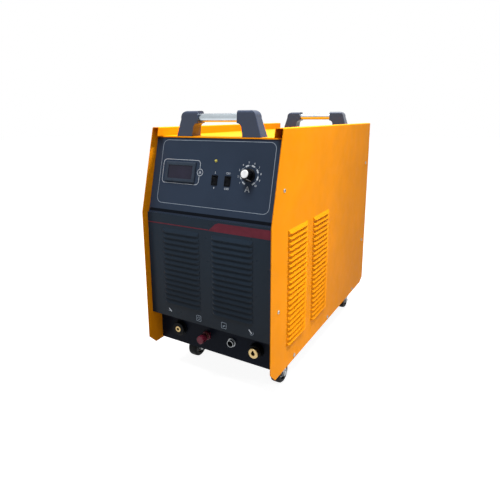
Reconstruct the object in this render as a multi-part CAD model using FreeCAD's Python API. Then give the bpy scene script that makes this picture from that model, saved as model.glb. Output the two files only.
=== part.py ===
import FreeCAD, Part
import math
import os
from FreeCAD import Vector

# Inverter plasma cutter unit, in millimetres.
# X runs across (+X is the right-hand cover), -Y is the front, +Z is up.
# z = 0 is the floor under the casters; x = y = 0 is the middle of the cabinet.

# ---- cabinet ----
CABINET_WIDTH = 320.0
COVER_DEPTH = 666.0
COVER_HEIGHT = 507.0
KINK_HEIGHT = 324.0          # lower, upright part of the front edge
FRONT_SETBACK = 47.5         # how far the top front corner lies behind the kink
FRONT_CHAMFER = 22.0
REAR_CHAMFER_RUN = 24.0
REAR_CHAMFER_RISE = 12.0
SHEET = 1.5
PANEL_SHEET = 2.0
BEND = 2.5                   # outer radius of the folded rim
RIM_WIDTH = 18.0
RIM_DROP = 19.0
FIT_GAP = 0.3                # side play of what stands between the covers
BASE_SHEET = 2.0
BASE_LIFT = 3.0              # base underside above the covers' bottom edge
BASE_FLANGE = 26.0

# ---- front and rear panels, measured back from the covers' front edge ----
UPPER_SETBACK = 20.5
LOWER_SETBACK = 15.0
CONNECTOR_SETBACK = 46.0
REAR_SETBACK = 642.0
UPPER_OVERLAP = 8.0          # upper panel hidden behind the lower one
LOWER_PANEL_BOTTOM = 81.0    # above the covers' bottom edge
LOWER_PANEL_TOP = 322.0
CONNECTOR_PANEL_TOP = 150.0
SIDE_FLANGE = 27.0
REAR_FLANGE = 22.0
TOP_LIP = 3.0

# ---- pressed louvers ----
LOUVER_DEPTH = 4.6
LOUVER_HEIGHT = 8.8
LOUVER_END = 14.0            # length over which each end rounds off
LOUVER_WALL = 1.1
SIDE_LOUVER_PITCH = 11.7
SIDE_LOUVER_ROWS = 22
SIDE_LOUVER_LENGTH = 100.5
SIDE_LOUVER_BOTTOM = 50.5
SIDE_LOUVER_CENTRES = (125.5, 262.0)
FRONT_LOUVER_PITCH = 11.9
FRONT_LOUVER_ROWS = 15
FRONT_LOUVER_LENGTH = 98.0
FRONT_LOUVER_BOTTOM = 115.5
FRONT_LOUVER_CENTRES = (-67.0, 63.0)
FRONT_LOUVER_DEPTH = 3.6

# ---- fasteners ----
SCREW_RADIUS = 2.0
SCREW_HEAD_RADIUS = 4.2
SCREW_HEAD_HEIGHT = 2.2
SCREW_LENGTH = 8.0
HOLE_PLAY = 0.15
BOLT_RADIUS = 3.0
BOLT_HEAD_FLAT = 10.0
BOLT_HEAD_HEIGHT = 4.0
CASTER_BOLT_LENGTH = 9.0
HANDLE_BOLT_LENGTH = 16.0
EDGE_SCREW_INSET = 33.0      # lower side screw, in from the covers' front edge
UPPER_SCREW_HEIGHT = 389.0
LOWER_SCREW_HEIGHT = 146.0
BOTTOM_SCREW_HEIGHT = 9.0
BOTTOM_SCREW_PLACES = (117.0, 334.0, 555.0)
UPPER_SCREW_DEPTH = 16.0     # behind the upper panel's outer face
REAR_SCREW_INSET = 7.0

# ---- handles ----
HANDLE_HEIGHT = 53.0
HANDLE_FOOT_OUT = 104.0
HANDLE_FOOT_IN = 62.5
HANDLE_NECK_IN = 59.5
HANDLE_NECK_DROP = 10.0      # neck below the head's underside
HANDLE_HEAD_OUT = 91.5
HANDLE_HEAD_IN = 48.5
HANDLE_FOOT_DEPTH = 32.0
HANDLE_HEAD_DEPTH = 24.5
HANDLE_CORNER = 13.0         # rounding of the shoulder, seen from the front
HANDLE_CORNER_LEAN = 1.2     # the crown starts this much further in than an upright corner would
HANDLE_CROWN = 7.0           # rounding of the top, seen from the side
HANDLE_EDGE = 2.5
HANDLE_NECK_HOLLOW = 3.2     # depth of the curve under the head
HANDLE_FRONT_SHARE = 0.35    # share of the leg's taper that its front face takes
HANDLE_WALL = 2.0            # under the tube's socket
HANDLE_TUBE_RADIUS = 9.0
HANDLE_TUBE_WALL = 1.5
HANDLE_TUBE_LIFT = 38.5      # tube axis above the top plate
HANDLE_SOCKET_DEPTH = 18.0
FRONT_HANDLE_SETBACK = 61.0
REAR_HANDLE_SETBACK = 609.0

# ---- casters ----
CASTER_HEIGHT = 80.0
WHEEL_RADIUS = 25.0
WHEEL_WIDTH = 24.0
WHEEL_HUB_RADIUS = 8.5
WHEEL_HUB_WIDTH = 26.0
WHEEL_WEB = 15.0
WHEEL_RING = (10.8, 12.6)    # raised ring on each side of the web
WHEEL_RING_PROUD = 1.6
TYRE_THICKNESS = 9.0
AXLE_RADIUS = 4.0
RUNNING_FIT = 0.05
CASTER_TRAIL = 20.0
CASTER_PLATE = 64.0
CASTER_PLATE_SHEET = 2.5
CASTER_HOLE_SPACING = 46.0
CASTER_SIDE_INSET = 43.0     # kingpin in from the cover's outer face
CASTER_HALF_TRACK = CABINET_WIDTH / 2 - CASTER_SIDE_INSET
FRONT_CASTER_SETBACK = 111.0
REAR_CASTER_SETBACK = 580.0
FORK_SHEET = 2.5
FORK_HEAD_RADIUS = 17.0
FORK_HEAD_HEIGHT = 5.0
RACE_RADIUS = 15.0
RACE_HEIGHT = 5.0
SWIVEL_GAP = 0.3
KINGPIN_RADIUS = 4.5

# ---- upper panel controls: across, and up the slope from the kink ----
METER_PLACE = (-82.0, 91.0)
METER_SIZE = (79.0, 43.5)
METER_WINDOW = (65.0, 29.0)
METER_PROUD = 4.0
METER_BODY_DEPTH = 24.0
LED_PLACE = (6.0, 119.0)
LED_RADIUS = 2.5
SWITCH_PLACES = ((7.5, 79.0), (39.0, 79.0))
SWITCH_SIZE = (15.0, 21.0)
SWITCH_DEPTH = 18.0
SWITCH_WALL = 1.8
ROCKER_PLAY = 0.4
ROCKER_PIN_RADIUS = 1.2
ROCKER_TILT = 10.0
ROCKER_PIVOT_DEPTH = 2.0
KNOB_PLACE = (88.0, 94.0)
KNOB_RADIUS = 13.4
KNOB_TOP_RADIUS = 10.5
KNOB_HEIGHT = 20.0
KNOB_GAP = 0.6
KNOB_CAP_RADIUS = 8.2
KNOB_CAP_HEIGHT = 1.6
SHAFT_RADIUS = 3.0
BUSHING_RADIUS = 4.6
POT_RADIUS = 12.0
POT_DEPTH = 10.0
CONTROL_BOARD = (230.0, 120.0, 1.6)

# ---- connectors on the recessed panel ----
CONNECTOR_HEIGHT = 41.0      # above the covers' bottom edge
TORCH_PLACE = -100.5
PILOT_PLACE = -24.6
CONTROL_PLACE = 42.0
WORK_PLACE = 105.0
TORCH_BODY_RADIUS = 16.0
TORCH_BODY_PROUD = 11.0
TORCH_HOLE = 12.0
TORCH_INSERT_RADIUS = 7.2
TORCH_BORE = 3.5
TORCH_BORE_LENGTH = 24.0
TORCH_TAIL = 16.0
PILOT_BASE_RADIUS = 10.2
PILOT_BASE_PROUD = 6.0
PILOT_STUD_RADIUS = 3.0
PILOT_CAP_RADIUS = 9.0
PILOT_CAP_LENGTH = 22.0
PILOT_WASHER = 1.2
PILOT_OPENING = 5.0          # how far the cap screws back
CONTROL_FLANGE_RADIUS = 9.8
CONTROL_THREAD_RADIUS = 8.0
CONTROL_THREAD_LENGTH = 7.0
CONTROL_PIN_RADIUS = 0.8
WORK_FLANGE_RADIUS = 14.5
WORK_FLANGE_PROUD = 11.0
WORK_INSERT_RADIUS = 11.0
WORK_INSERT_PROUD = 19.5
WORK_BORE = 4.6
WORK_BORE_LENGTH = 32.0

# ---- rear panel ----
FAN_SIZE = 150.0
FAN_DEPTH = 38.0
FAN_DUCT_RADIUS = 70.0
FAN_HEIGHT = 222.0           # fan axis above the covers' bottom edge
FAN_HUB_RADIUS = 26.0
FAN_BLADES = 7
FAN_TIP_GAP = 2.0
FAN_SHAFT_RADIUS = 2.5
GUARD_WIRE = 2.2
GUARD_RINGS = 4
BREAKER_PLACE = (70.0, 400.0)
BREAKER_SIZE = (54.0, 46.0)
BREAKER_DEPTH = 60.0
GLAND_PLACE = (-80.0, 400.0)
GLAND_BORE = 7.0
GLAND_RADIUS = 13.0
AIR_PLACE = (-100.0, 70.0)
AIR_HOSE_RADIUS = 4.8
AIR_BORE = 2.5

# ---- inside ----
SINK_SIZE = (220.0, 260.0, 58.0)
SINK_SETBACK = 285.0
SINK_SLAB = 8.0
SINK_FINS = 17
SINK_FIN = 2.5
MODULE_SIZE = (94.0, 34.0, 30.0)
MODULE_COUNT = 4
POWER_BOARD = (216.0, 250.0, 2.0)
CAPACITOR_RADIUS = 17.5
CAPACITOR_HEIGHT = 50.0
CORE_SIZE = (110.0, 90.0, 96.0)
CORE_LEG = 24.0
CORE_SETBACK = 150.0
VALVE_SIZE = (32.0, 56.0, 40.0)

# ---- values that follow ----
FRONT = -COVER_DEPTH / 2
REAR = COVER_DEPTH / 2
HALF = CABINET_WIDTH / 2
INNER_HALF = HALF - SHEET - FIT_GAP
BASE_BOTTOM = CASTER_HEIGHT
BASE_TOP = BASE_BOTTOM + BASE_SHEET
COVER_BOTTOM = BASE_BOTTOM - BASE_LIFT
COVER_TOP = COVER_BOTTOM + COVER_HEIGHT
PLATE_TOP = COVER_TOP - RIM_DROP
LEAN = FRONT_SETBACK / (COVER_HEIGHT - KINK_HEIGHT)
LEAN_ANGLE = math.degrees(math.atan(LEAN))
UPPER_ORIGIN = Vector(0, FRONT + UPPER_SETBACK, COVER_BOTTOM + KINK_HEIGHT)
LOWER_FACE = FRONT + LOWER_SETBACK
CONNECTOR_FACE = FRONT + CONNECTOR_SETBACK
REAR_FACE = FRONT + REAR_SETBACK
CONNECTOR_Z = COVER_BOTTOM + CONNECTOR_HEIGHT
X, Y, Z = Vector(1, 0, 0), Vector(0, 1, 0), Vector(0, 0, 1)

os.makedirs("parts", exist_ok=True)


# ---- helpers ----
def box(x0, x1, y0, y1, z0, z1):
    return Part.makeBox(x1 - x0, y1 - y0, z1 - z0, Vector(x0, y0, z0))


def rod(radius, start, direction, length):
    return Part.makeCylinder(radius, length, start, direction)


def prism(points, sweep):
    wire = Part.makePolygon(points + points[:1])
    return Part.Face(wire).extrude(sweep)


def turned(profile, origin, axis):
    """Solid of revolution: profile is (distance along axis, radius) points."""
    side = X if abs(axis.x) < 0.5 else Y
    points = [origin + axis * along + side * radius for along, radius in profile]
    return Part.Face(Part.makePolygon(points + points[:1])).revolve(origin, axis, 360)


def fuse(shapes):
    return shapes[0].multiFuse(shapes[1:]).removeSplitter() if len(shapes) > 1 else shapes[0]


def cut(shape, tools):
    return shape.cut(Part.makeCompound(tools)) if tools else shape


def moved(shape, offset):
    copy = shape.copy()
    copy.translate(offset)
    return copy


def mirrored(shape):
    return shape.mirror(Vector(0, 0, 0), X)


def on_upper_panel(shape):
    """From panel axes (across, inwards, up the slope) to the cabinet."""
    copy = shape.copy()
    copy.rotate(Vector(0, 0, 0), X, -LEAN_ANGLE)
    copy.translate(UPPER_ORIGIN)
    return copy


def save(name, *shapes):
    solids = [solid for shape in shapes for solid in shape.Solids]
    result = solids[0] if len(solids) == 1 else Part.makeCompound(solids)
    result.exportStep("parts/" + name + ".step")


# ---- pressed louvers ----
def louver_solid(length, depth, height, end):
    """Wedge that is deepest at its foot, and whose ends curve back to the wall in plan."""
    half = length / 2
    wedge = prism([Vector(-half, 0, 0), Vector(-half, -depth, 0), Vector(-half, 0, height)],
                  Vector(length, 0, 0))
    plan = [box(end - half, half - end, -depth, 0, 0, height)]
    for side in (-1, 1):
        curve = Part.Ellipse(Vector(side * (half - end), 0, 0), end, depth)
        plan.append(Part.Face(Part.Wire(curve.toShape())).extrude(Z * height))
    return wedge.common(plan[0].multiFuse(plan[1:]))


def louver_tools(length, depth):
    """Hood to add and hollows to cut; the wall's outer face is y = 0, and outside is -y."""
    hood = louver_solid(length, depth, LOUVER_HEIGHT, LOUVER_END)
    inner_depth = depth - LOUVER_WALL
    inner_height = LOUVER_HEIGHT * inner_depth / depth
    inner_length = length - 3 * LOUVER_WALL
    hollow = louver_solid(inner_length, inner_depth, inner_height, LOUVER_END - LOUVER_WALL)
    half = inner_length / 2 - 1
    slot = box(-half, half, -0.2, PANEL_SHEET, 0, inner_height - 0.2 * inner_height / inner_depth)
    return hood, [hollow, slot]


def with_louvers(wall, length, depth, places, turn):
    """Adds louvers at (across, foot height) places; turn maps the local louver to the wall."""
    hood, hollows = louver_tools(length, depth)
    hoods = [turn(moved(hood, Vector(across, 0, foot))) for across, foot in places]
    tools = [turn(moved(hollow, Vector(across, 0, foot)))
             for across, foot in places for hollow in hollows]
    return cut(wall.multiFuse(hoods), tools)


# ---- fasteners ----
def pan_screw(place, outward):
    """Pan head on the outer face at place, shank going in."""
    head = turned([(0, 0), (0, SCREW_HEAD_RADIUS), (0.8, SCREW_HEAD_RADIUS),
                   (SCREW_HEAD_HEIGHT, SCREW_HEAD_RADIUS * 0.55), (SCREW_HEAD_HEIGHT, 0)],
                  place, outward)
    return head.fuse(rod(SCREW_RADIUS, place, outward * -1, SCREW_LENGTH)).removeSplitter()


def hex_bolt(place, length):
    """Hexagon head below place, shank going up."""
    corner = BOLT_HEAD_FLAT / math.sqrt(3)
    points = [place + Vector(corner * math.cos(math.radians(60 * step)),
                             corner * math.sin(math.radians(60 * step)), 0) for step in range(6)]
    head = prism(points, Z * -BOLT_HEAD_HEIGHT)
    return head.fuse(rod(BOLT_RADIUS, place, Z, length)).removeSplitter()


def cover_screw_places():
    """Right-hand cover: (y, z) of each screw."""
    upper_y = FRONT + UPPER_SETBACK + LEAN * (UPPER_SCREW_HEIGHT - KINK_HEIGHT) + UPPER_SCREW_DEPTH
    rear_y = REAR_FACE - REAR_SCREW_INSET
    places = [(upper_y, COVER_BOTTOM + UPPER_SCREW_HEIGHT),
              (FRONT + EDGE_SCREW_INSET, COVER_BOTTOM + LOWER_SCREW_HEIGHT),
              (rear_y, COVER_BOTTOM + UPPER_SCREW_HEIGHT),
              (rear_y, COVER_BOTTOM + LOWER_SCREW_HEIGHT)]
    return places + [(FRONT + along, COVER_BOTTOM + BOTTOM_SCREW_HEIGHT)
                     for along in BOTTOM_SCREW_PLACES]


def cover_screw_holes():
    radius = SCREW_RADIUS + HOLE_PLAY
    return [rod(radius, Vector(-HALF - 1, y, z), X, CABINET_WIDTH + 2) for y, z in cover_screw_places()]


# ---- sheet-metal cabinet ----
def side_cover():
    """Right-hand cover: one sheet with a folded rim, cut to the cabinet's side outline."""
    inner = HALF - SHEET
    lip = HALF - RIM_WIDTH
    wall = box(inner, HALF, FRONT, REAR, COVER_BOTTOM, COVER_TOP)
    flange = box(lip, HALF, FRONT, REAR, COVER_TOP - SHEET, COVER_TOP)
    drop = box(lip, lip + SHEET, FRONT, REAR, PLATE_TOP, COVER_TOP)
    sheet = wall.multiFuse([flange, drop]).removeSplitter()
    bends = [edge for edge in sheet.Edges
             if edge.Length > COVER_DEPTH - 1 and abs(edge.BoundBox.ZMax - COVER_TOP) < 0.01]
    sheet = sheet.makeFillet(BEND, bends)
    outline = [(FRONT, FRONT_CHAMFER), (FRONT, KINK_HEIGHT), (FRONT + FRONT_SETBACK, COVER_HEIGHT),
               (REAR, COVER_HEIGHT), (REAR, REAR_CHAMFER_RISE), (REAR - REAR_CHAMFER_RUN, 0),
               (FRONT + FRONT_CHAMFER, 0)]
    side = prism([Vector(lip - 1, y, COVER_BOTTOM + z) for y, z in outline],
                 Vector(RIM_WIDTH + 2, 0, 0))
    sheet = cut(sheet.common(side), cover_screw_holes())

    def turn(shape):
        shape.rotate(Vector(0, 0, 0), Z, 90)
        shape.translate(Vector(HALF, FRONT, COVER_BOTTOM))
        return shape

    places = [(across, SIDE_LOUVER_BOTTOM + SIDE_LOUVER_PITCH * row)
              for across in SIDE_LOUVER_CENTRES for row in range(SIDE_LOUVER_ROWS)]
    return with_louvers(sheet, SIDE_LOUVER_LENGTH, LOUVER_DEPTH, places, turn)


def caster_places():
    return [("front_left", -CASTER_HALF_TRACK, FRONT + FRONT_CASTER_SETBACK),
            ("front_right", CASTER_HALF_TRACK, FRONT + FRONT_CASTER_SETBACK),
            ("rear_left", -CASTER_HALF_TRACK, FRONT + REAR_CASTER_SETBACK),
            ("rear_right", CASTER_HALF_TRACK, FRONT + REAR_CASTER_SETBACK)]


def caster_bolt_places():
    half = CASTER_HOLE_SPACING / 2
    return [Vector(x + i * half, y + j * half, BASE_BOTTOM - CASTER_PLATE_SHEET)
            for _, x, y in caster_places() for i in (-1, 1) for j in (-1, 1)]


def base_plate():
    front = CONNECTOR_FACE + PANEL_SHEET
    rear = REAR_FACE - SHEET
    floor = box(-INNER_HALF, INNER_HALF, front, rear, BASE_BOTTOM, BASE_TOP)
    flanges = [box(INNER_HALF - BASE_SHEET, INNER_HALF, front, rear, BASE_BOTTOM, BASE_BOTTOM + BASE_FLANGE),
               box(-INNER_HALF, BASE_SHEET - INNER_HALF, front, rear, BASE_BOTTOM,
                   BASE_BOTTOM + BASE_FLANGE)]
    holes = [rod(BOLT_RADIUS + HOLE_PLAY, place, Z, 20) for place in caster_bolt_places()]
    return cut(floor.multiFuse(flanges).removeSplitter(), holes + cover_screw_holes())


def handle_bolt_places():
    across = (HANDLE_FOOT_OUT + HANDLE_FOOT_IN) / 2
    return [Vector(side * across, FRONT + setback + HANDLE_FOOT_DEPTH / 2, PLATE_TOP - SHEET)
            for setback in (FRONT_HANDLE_SETBACK, REAR_HANDLE_SETBACK) for side in (-1, 1)]


def upper_face_y(z):
    return UPPER_ORIGIN.y + LEAN * (z - UPPER_ORIGIN.z)


def top_plate():
    """Flat plate with a short lip over the front panel and one over the rear panel."""
    under = PLATE_TOP - SHEET
    low = PLATE_TOP - TOP_LIP
    gap = SHEET + FIT_GAP
    outline = [(upper_face_y(low) - gap, low), (upper_face_y(PLATE_TOP) - gap, PLATE_TOP),
               (REAR_FACE + gap, PLATE_TOP), (REAR_FACE + gap, PLATE_TOP - 12),
               (REAR_FACE + FIT_GAP, PLATE_TOP - 12), (REAR_FACE + FIT_GAP, under),
               (upper_face_y(under) - FIT_GAP, under), (upper_face_y(low) - FIT_GAP, low)]
    plate = prism([Vector(-INNER_HALF, y, z) for y, z in outline], Vector(2 * INNER_HALF, 0, 0))
    holes = [rod(BOLT_RADIUS + HOLE_PLAY, place - Z, Z, 5) for place in handle_bolt_places()]
    return cut(plate, holes)


def side_flanges(y0, y1, z0, z1):
    return [box(-INNER_HALF, SHEET - INNER_HALF, y0, y1, z0, z1),
            box(INNER_HALF - SHEET, INNER_HALF, y0, y1, z0, z1)]


def upper_front_panel():
    top = (PLATE_TOP - SHEET - UPPER_ORIGIN.z) / math.cos(math.radians(LEAN_ANGLE))
    reach = top - SIDE_FLANGE * math.tan(math.radians(LEAN_ANGLE)) - FIT_GAP
    face = box(-INNER_HALF, INNER_HALF, 0, PANEL_SHEET, -UPPER_OVERLAP, top - PANEL_SHEET * LEAN)
    # the folded sides stop short of the lower panel's own flanges
    lowest = SIDE_FLANGE * math.tan(math.radians(LEAN_ANGLE)) + 6.0
    sheet = fuse([face] + side_flanges(0, SIDE_FLANGE, lowest, reach + SIDE_FLANGE * LEAN))
    meter_x, meter_z = METER_PLACE
    openings = [box(meter_x - METER_SIZE[0] / 2 + 3, meter_x + METER_SIZE[0] / 2 - 3, -1, 5,
                    meter_z - METER_SIZE[1] / 2 + 3, meter_z + METER_SIZE[1] / 2 - 3),
                rod(LED_RADIUS + HOLE_PLAY, Vector(LED_PLACE[0], -1, LED_PLACE[1]), Y, 5),
                rod(BUSHING_RADIUS + HOLE_PLAY, Vector(KNOB_PLACE[0], -1, KNOB_PLACE[1]), Y, 5)]
    for x, z in SWITCH_PLACES:
        half_x, half_z = SWITCH_SIZE[0] / 2 - 1, SWITCH_SIZE[1] / 2 - 1
        openings.append(box(x - half_x, x + half_x, -1, 5, z - half_z, z + half_z))
    return cut(on_upper_panel(cut(sheet, openings)), cover_screw_holes())


def lower_front_panel():
    """Louvered panel with folded sides and a soffit that closes back to the connector panel."""
    bottom = COVER_BOTTOM + LOWER_PANEL_BOTTOM
    top = COVER_BOTTOM + LOWER_PANEL_TOP
    face = box(-INNER_HALF, INNER_HALF, LOWER_FACE, LOWER_FACE + SHEET, bottom, top)
    soffit = box(-INNER_HALF, INNER_HALF, LOWER_FACE, CONNECTOR_FACE - FIT_GAP, bottom, bottom + SHEET)
    sides = side_flanges(LOWER_FACE, LOWER_FACE + SIDE_FLANGE, bottom, top - UPPER_OVERLAP)
    sheet = cut(fuse([face, soffit] + sides), cover_screw_holes())

    def turn(shape):
        shape.translate(Vector(0, LOWER_FACE, COVER_BOTTOM))
        return shape

    places = [(across, FRONT_LOUVER_BOTTOM + FRONT_LOUVER_PITCH * row)
              for across in FRONT_LOUVER_CENTRES for row in range(FRONT_LOUVER_ROWS)]
    return with_louvers(sheet, FRONT_LOUVER_LENGTH, FRONT_LOUVER_DEPTH, places, turn)


def connector_panel():
    face = box(-INNER_HALF, INNER_HALF, CONNECTOR_FACE, CONNECTOR_FACE + PANEL_SHEET,
               BASE_BOTTOM, COVER_BOTTOM + CONNECTOR_PANEL_TOP)
    foot = box(-INNER_HALF + 4, INNER_HALF - 4, CONNECTOR_FACE, CONNECTOR_FACE + 18,
               BASE_TOP, BASE_TOP + SHEET)
    radii = {TORCH_PLACE: TORCH_HOLE, PILOT_PLACE: PILOT_BASE_RADIUS - 4,
             CONTROL_PLACE: CONTROL_THREAD_RADIUS, WORK_PLACE: WORK_INSERT_RADIUS}
    holes = [rod(radius + HOLE_PLAY, Vector(x, CONNECTOR_FACE - 1, CONNECTOR_Z), Y, 5)
             for x, radius in radii.items()]
    return cut(fuse([face, foot]), holes)


def rear_place(place):
    return Vector(place[0], REAR_FACE, COVER_BOTTOM + place[1])


def rear_panel():
    inner = REAR_FACE - SHEET
    top = PLATE_TOP - SHEET
    face = box(-INNER_HALF, INNER_HALF, inner, REAR_FACE, BASE_BOTTOM, top)
    sides = side_flanges(inner - REAR_FLANGE, REAR_FACE, BASE_BOTTOM + BASE_FLANGE, top)
    fan = Vector(0, inner - 1, COVER_BOTTOM + FAN_HEIGHT)
    breaker = rear_place(BREAKER_PLACE)
    half_x, half_z = BREAKER_SIZE[0] / 2 + HOLE_PLAY, BREAKER_SIZE[1] / 2 + HOLE_PLAY
    holes = [rod(FAN_DUCT_RADIUS, fan, Y, 5),
             box(breaker.x - half_x, breaker.x + half_x, inner - 1, REAR_FACE + 1,
                 breaker.z - half_z, breaker.z + half_z),
             rod(GLAND_RADIUS - 3 + HOLE_PLAY, rear_place(GLAND_PLACE) - Y * 3, Y, 5),
             rod(AIR_HOSE_RADIUS + 2 + HOLE_PLAY, rear_place(AIR_PLACE) - Y * 3, Y, 5)]
    return cut(fuse([face] + sides), holes + cover_screw_holes())


# ---- handles ----
def handle_leg_outline():
    """Leg seen from the front: leaning foot, rounded shoulder, head, and the curve under the head."""
    head_low = HANDLE_TUBE_LIFT - HANDLE_TUBE_RADIUS - HANDLE_WALL
    bend = HANDLE_CORNER * (1 - math.sqrt(0.5))
    foot_out = Vector(HANDLE_FOOT_OUT, 0, 0)
    shoulder = Vector(HANDLE_HEAD_OUT, 0, HANDLE_HEIGHT - HANDLE_CORNER)
    corner = Vector(HANDLE_HEAD_OUT - bend - HANDLE_CORNER_LEAN / 2, 0, HANDLE_HEIGHT - bend)
    crown = Vector(HANDLE_HEAD_OUT - HANDLE_CORNER - HANDLE_CORNER_LEAN, 0, HANDLE_HEIGHT)
    head_top = Vector(HANDLE_HEAD_IN, 0, HANDLE_HEIGHT)
    head_foot = Vector(HANDLE_HEAD_IN, 0, head_low)
    hollow = Vector(HANDLE_NECK_IN - HANDLE_NECK_HOLLOW, 0, head_low - HANDLE_NECK_DROP * 0.3)
    neck = Vector(HANDLE_NECK_IN, 0, head_low - HANDLE_NECK_DROP)
    foot_in = Vector(HANDLE_FOOT_IN, 0, 0)
    return [Part.makeLine(foot_out, shoulder), Part.Arc(shoulder, corner, crown).toShape(),
            Part.makeLine(crown, head_top), Part.makeLine(head_top, head_foot),
            Part.Arc(head_foot, hollow, neck).toShape(), Part.makeLine(neck, foot_in),
            Part.makeLine(foot_in, foot_out)]


def handle_head_front():
    """How far the head's front face lies behind the foot's front face."""
    return (HANDLE_FOOT_DEPTH - HANDLE_HEAD_DEPTH) * HANDLE_FRONT_SHARE


def handle_leg_section():
    """Leg seen from the side: both faces lean in, and the top is crowned."""
    near = handle_head_front()
    far = near + HANDLE_HEAD_DEPTH
    side = HANDLE_HEIGHT - HANDLE_CROWN
    bend = HANDLE_CROWN * (1 - math.sqrt(0.5))
    foot_front = Vector(0, 0, 0)
    foot_back = Vector(0, HANDLE_FOOT_DEPTH, 0)
    back = Vector(0, far, side)
    front = Vector(0, near, side)
    back_top = Vector(0, far - HANDLE_CROWN, HANDLE_HEIGHT)
    front_top = Vector(0, near + HANDLE_CROWN, HANDLE_HEIGHT)
    return [Part.makeLine(foot_front, foot_back), Part.makeLine(foot_back, back),
            Part.Arc(back, Vector(0, far - bend, HANDLE_HEIGHT - bend), back_top).toShape(),
            Part.makeLine(back_top, front_top),
            Part.Arc(front_top, Vector(0, near + bend, HANDLE_HEIGHT - bend), front).toShape(),
            Part.makeLine(front, foot_front)]


def handle_leg(setback):
    """Right-hand leg: moulded foot that leans in to a crowned head with a socket for the tube."""
    seen_from_front = Part.Face(Part.Wire(handle_leg_outline())).extrude(Y * HANDLE_FOOT_DEPTH)
    seen_from_side = Part.Face(Part.Wire(handle_leg_section())).extrude(X * (HANDLE_FOOT_OUT + 1))
    leg = seen_from_front.common(seen_from_side)
    middle = (HANDLE_FOOT_OUT + HANDLE_FOOT_IN) / 2
    outer = [edge for edge in leg.Edges
             if edge.BoundBox.ZLength > HANDLE_HEIGHT / 3 and edge.BoundBox.YLength < HANDLE_CROWN
             and edge.CenterOfMass.x > middle]
    leg = leg.makeFillet(HANDLE_EDGE, outer)
    socket = rod(HANDLE_TUBE_RADIUS + RUNNING_FIT,
                 Vector(HANDLE_HEAD_IN - 1, handle_tube_depth(), HANDLE_TUBE_LIFT), X,
                 HANDLE_SOCKET_DEPTH + 1)
    hole = rod(BOLT_RADIUS + RUNNING_FIT, Vector(middle, HANDLE_FOOT_DEPTH / 2, -1), Z, HANDLE_BOLT_LENGTH + 1)
    return moved(cut(leg, [socket, hole]), Vector(0, FRONT + setback, PLATE_TOP))


def handle_tube_depth():
    return handle_head_front() + HANDLE_HEAD_DEPTH / 2


def handle_tube(setback):
    reach = HANDLE_HEAD_IN + HANDLE_SOCKET_DEPTH - FIT_GAP
    start = Vector(-reach, FRONT + setback + handle_tube_depth(), PLATE_TOP + HANDLE_TUBE_LIFT)
    return rod(HANDLE_TUBE_RADIUS, start, X, 2 * reach).cut(
        rod(HANDLE_TUBE_RADIUS - HANDLE_TUBE_WALL, start, X, 2 * reach))


# ---- casters ----
RACE_BOTTOM = BASE_BOTTOM - CASTER_PLATE_SHEET - RACE_HEIGHT
FORK_TOP = RACE_BOTTOM - SWIVEL_GAP
FORK_UNDER = FORK_TOP - FORK_HEAD_HEIGHT


def caster_plate(x, y):
    """Plate, swivel race and the kingpin whose head carries the fork."""
    half = CASTER_PLATE / 2
    under = BASE_BOTTOM - CASTER_PLATE_SHEET
    plate = box(x - half, x + half, y - half, y + half, under, BASE_BOTTOM)
    pin = turned([(0, 0), (0, RACE_RADIUS), (-RACE_HEIGHT, RACE_RADIUS - 2), (-RACE_HEIGHT, KINGPIN_RADIUS),
                  (FORK_UNDER - SWIVEL_GAP - under, KINGPIN_RADIUS),
                  (FORK_UNDER - SWIVEL_GAP - under, KINGPIN_RADIUS + 3.5),
                  (FORK_UNDER - 2.5 - under, KINGPIN_RADIUS + 2.5), (FORK_UNDER - 2.5 - under, 0)],
                 Vector(x, y, under), Z)
    near = [rod(BOLT_RADIUS + HOLE_PLAY, place - Z, Z, 6) for place in caster_bolt_places()
            if abs(place.x - x) < CASTER_PLATE / 2 and abs(place.y - y) < CASTER_PLATE / 2]
    return cut(plate.fuse(pin).removeSplitter(), near)


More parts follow.
